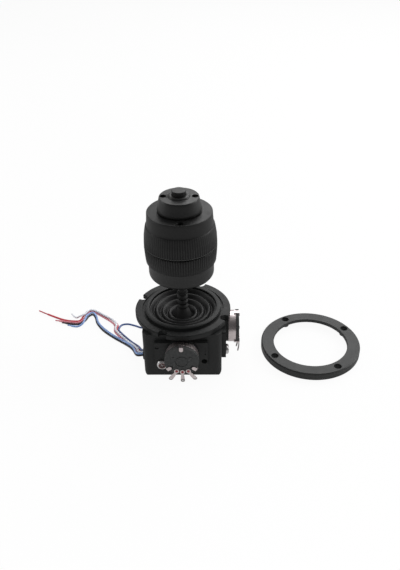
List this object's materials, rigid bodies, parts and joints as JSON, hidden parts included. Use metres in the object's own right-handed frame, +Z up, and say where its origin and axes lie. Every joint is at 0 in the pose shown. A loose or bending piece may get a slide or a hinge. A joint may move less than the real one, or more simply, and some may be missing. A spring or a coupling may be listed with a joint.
{
  "type": "panel joystick",
  "caption": "Panel joystick: sprung two-axis gimbal in a square housing, folded rubber boot, knurled twisting knob with a push button, solder-lug sensors and a loose clamping ring.",
  "frame": {"origin": "on the standing surface, under the stick's axis, in the middle of the bottom cover", "axes": "+Z up along the upright stick; -Y towards the face with the first potentiometer; +X towards the face with the second one, and the loose ring beyond it"},
  "size_m": [0.1971, 0.072, 0.1038],
  "materials": {
    "housing_plastic": "black glass-filled plastic, lightly textured",
    "flange_plastic": "black plastic, fine matte texture",
    "boot_rubber": "black elastomer",
    "cover_plastic": "black plastic",
    "screw_steel": "zinc-plated steel",
    "can_metal": "drawn nickel-silver can",
    "disc_phenolic": "dark grey phenolic",
    "lug_tin": "tinned brass",
    "rivet_red": "red lacquered rivet",
    "grommet_rubber": "black rubber",
    "wire_black": "black insulation",
    "wire_light_blue": "light blue insulation",
    "wire_pink": "pink insulation",
    "wire_red": "red insulation",
    "wire_white": "white insulation",
    "wire_dark_blue": "dark blue insulation",
    "ring_plastic": "black plastic",
    "bearing_plastic": "natural acetal",
    "pin_steel": "ground steel",
    "spring_steel": "spring steel wire",
    "stem_steel": "polished steel tube",
    "lead_insulation": "bundled insulated leads",
    "knob_plastic": "black plastic, satin",
    "black_steel": "blackened steel",
    "bracket_plate": "passivated steel",
    "pot_body": "blue moulded body",
    "button_plastic": "black plastic, slightly glossy"
  },
  "bodies": {
    "base": {"housing": "housing_plastic", "bottom_cover": "cover_plastic", "case_screws": "screw_steel", "top_flange": "flange_plastic", "boot_clamp_ring": "flange_plastic", "dust_boot": "boot_rubber", "journal_bushes": "bearing_plastic", "front_pot_plate": "housing_plastic", "side_pot_plate": "housing_plastic", "front_plate_screw": "screw_steel", "side_plate_screw": "screw_steel", "front_pot_can": "can_metal", "side_pot_can": "can_metal", "front_pot_disc": "disc_phenolic", "side_pot_disc": "disc_phenolic", "front_pot_lugs": "lug_tin", "side_pot_lugs": "lug_tin", "front_pot_rivets": "rivet_red", "side_pot_rivets": "rivet_red", "cable_grommet": "grommet_rubber", "wire_black": "wire_black", "wire_blue": "wire_light_blue", "wire_pink": "wire_pink", "wire_red": "wire_red", "wire_white": "wire_white", "wire_dark_blue": "wire_dark_blue", "mounting_ring": "ring_plastic"},
    "cradle": {"cradle": "bearing_plastic", "pivot_pins": "pin_steel", "front_pot_shaft": "pin_steel", "cradle_spring": "spring_steel"},
    "yoke": {"slotted_yoke": "bearing_plastic", "side_pot_shaft": "pin_steel", "yoke_spring": "spring_steel"},
    "stick": {"stem": "stem_steel", "stick_hub": "bearing_plastic", "tail_slider": "bearing_plastic", "stem_leads": "lead_insulation", "lower_cup": "knob_plastic", "cup_set_screw": "black_steel", "twist_pot_plate": "bracket_plate", "plate_posts_screws": "screw_steel", "twist_pot_body": "pot_body", "cap_snap_ring": "spring_steel"},
    "twist": {"twist_cap": "knob_plastic", "knob_head": "knob_plastic", "twist_stop_screw": "black_steel", "twist_pot_shaft": "pin_steel", "button_switch": "button_plastic", "twist_spring": "spring_steel", "button_spring": "spring_steel"},
    "button": {"push_button": "button_plastic"}
  },
  "joints": [
    {"name": "cradle_tilt", "type": "hinge", "parent": "base", "child": "cradle", "pos_m": [0, 0, 0.0188], "axis": [0, 1, 0], "range_deg": [-25, 25], "stiffness_Nm_per_rad": 0.25, "deforming": ["cradle_spring", "dust_boot"]},
    {"name": "stick_tilt", "type": "hinge", "parent": "cradle", "child": "stick", "pos_m": [0, 0, 0.0188], "axis": [1, 0, 0], "range_deg": [-25, 25], "stiffness_Nm_per_rad": 0.25},
    {"name": "yoke_tilt", "type": "hinge", "parent": "base", "child": "yoke", "pos_m": [0, 0, 0.0188], "axis": [1, 0, 0], "range_deg": [-26, 26], "deforming": ["yoke_spring"]},
    {"name": "twist", "type": "hinge", "parent": "stick", "child": "twist", "pos_m": [0, 0, 0.0735], "axis": [0, 0, 1], "range_deg": [-30, 30], "stiffness_Nm_per_rad": 0.02, "deforming": ["twist_spring"]},
    {"name": "button_press", "type": "slide", "parent": "twist", "child": "button", "axis": [0, 0, -1], "range_m": [0, 0.0015], "stiffness_N_per_m": 400, "springref_m": -0.0005, "deforming": ["button_spring"]}
  ],
  "couplings": [
    {"joint": "yoke_tilt", "follows": "stick_tilt", "ratio": 1}
  ]
}
